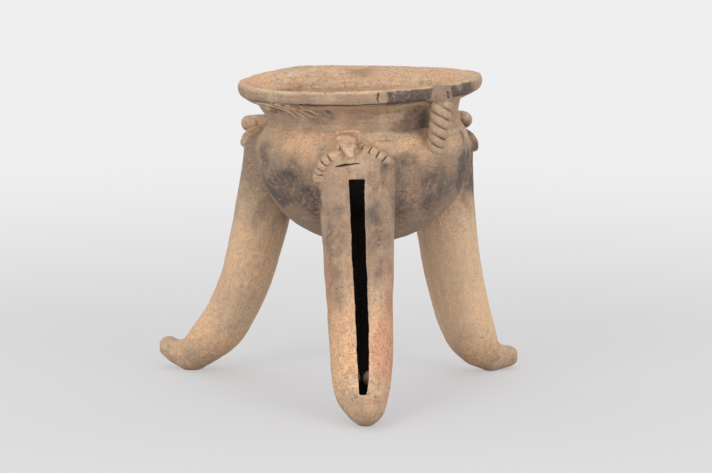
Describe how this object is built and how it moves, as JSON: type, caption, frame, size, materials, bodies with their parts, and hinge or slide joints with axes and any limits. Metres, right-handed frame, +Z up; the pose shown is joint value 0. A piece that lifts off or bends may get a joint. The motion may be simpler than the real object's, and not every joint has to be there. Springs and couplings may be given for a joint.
{
  "type": "tripod rattle vessel",
  "caption": "Fired-clay bowl with a flared rim and twisted rope handles, on long hollow slit legs that hold loose clay pellets and end in upturned toes.",
  "frame": {"origin": "on the ground, at the centre of the plan of the whole vessel's box", "axes": "+Z up; -Y towards the front leg; +X to the right as seen from the front"},
  "size_m": [0.3042, 0.2744, 0.2597],
  "materials": {
    "tan_clay": "matte, lightly burnished",
    "smoked_clay": "matte, smoked by the fire",
    "grey_clay": "matte",
    "pellet_clay": "matte"
  },
  "bodies": {
    "vessel": {"bowl": "smoked_clay", "neck": "grey_clay", "rim": "tan_clay", "front_leg": "tan_clay", "front_toe": "tan_clay", "front_arm_left": "grey_clay", "front_arm_right": "grey_clay", "front_head": "grey_clay", "front_eye_left": "grey_clay", "front_eye_right": "grey_clay", "right_leg": "tan_clay", "right_toe": "tan_clay", "right_arm_left": "grey_clay", "right_arm_right": "grey_clay", "right_head": "grey_clay", "right_eye_left": "grey_clay", "right_eye_right": "grey_clay", "left_leg": "tan_clay", "left_toe": "tan_clay", "left_arm_left": "grey_clay", "left_arm_right": "grey_clay", "left_head": "grey_clay", "left_eye_left": "grey_clay", "left_eye_right": "grey_clay", "right_handle_strand_a": "grey_clay", "right_handle_strand_b": "grey_clay", "right_handle_top_pad": "smoked_clay", "right_handle_foot_pad": "smoked_clay", "back_handle_strand_a": "grey_clay", "back_handle_strand_b": "grey_clay", "back_handle_top_pad": "smoked_clay", "back_handle_foot_pad": "smoked_clay"},
    "front_pellet_left": {"front_pellet_left": "pellet_clay"},
    "front_pellet_right": {"front_pellet_right": "pellet_clay"},
    "right_pellet_left": {"right_pellet_left": "pellet_clay"},
    "right_pellet_right": {"right_pellet_right": "pellet_clay"},
    "left_pellet_left": {"left_pellet_left": "pellet_clay"},
    "left_pellet_right": {"left_pellet_right": "pellet_clay"}
  },
  "joints": [
    {"name": "front_left_roll", "type": "hinge", "parent": "vessel", "child": "front_pellet_left", "pos_m": [0.01805, -0.27524, 0.15331], "axis": [0.9999, -0.0105, 0], "range_deg": [0, 35]},
    {"name": "front_right_roll", "type": "hinge", "parent": "vessel", "child": "front_pellet_right", "pos_m": [0.01805, -0.27524, 0.15331], "axis": [0.9999, -0.0105, 0], "range_deg": [0, 35]},
    {"name": "right_left_roll", "type": "hinge", "parent": "vessel", "child": "right_pellet_left", "pos_m": [0.26134, 0.20004, 0.128], "axis": [-0.5592, 0.829, 0], "range_deg": [0, 35]},
    {"name": "right_right_roll", "type": "hinge", "parent": "vessel", "child": "right_pellet_right", "pos_m": [0.26134, 0.20004, 0.128], "axis": [-0.5592, 0.829, 0], "range_deg": [0, 35]},
    {"name": "left_left_roll", "type": "hinge", "parent": "vessel", "child": "left_pellet_left", "pos_m": [-0.28663, 0.2019, 0.17908], "axis": [-0.4695, -0.8829, 0], "range_deg": [0, 33]},
    {"name": "left_right_roll", "type": "hinge", "parent": "vessel", "child": "left_pellet_right", "pos_m": [-0.28663, 0.2019, 0.17908], "axis": [-0.4695, -0.8829, 0], "range_deg": [0, 33]}
  ]
}
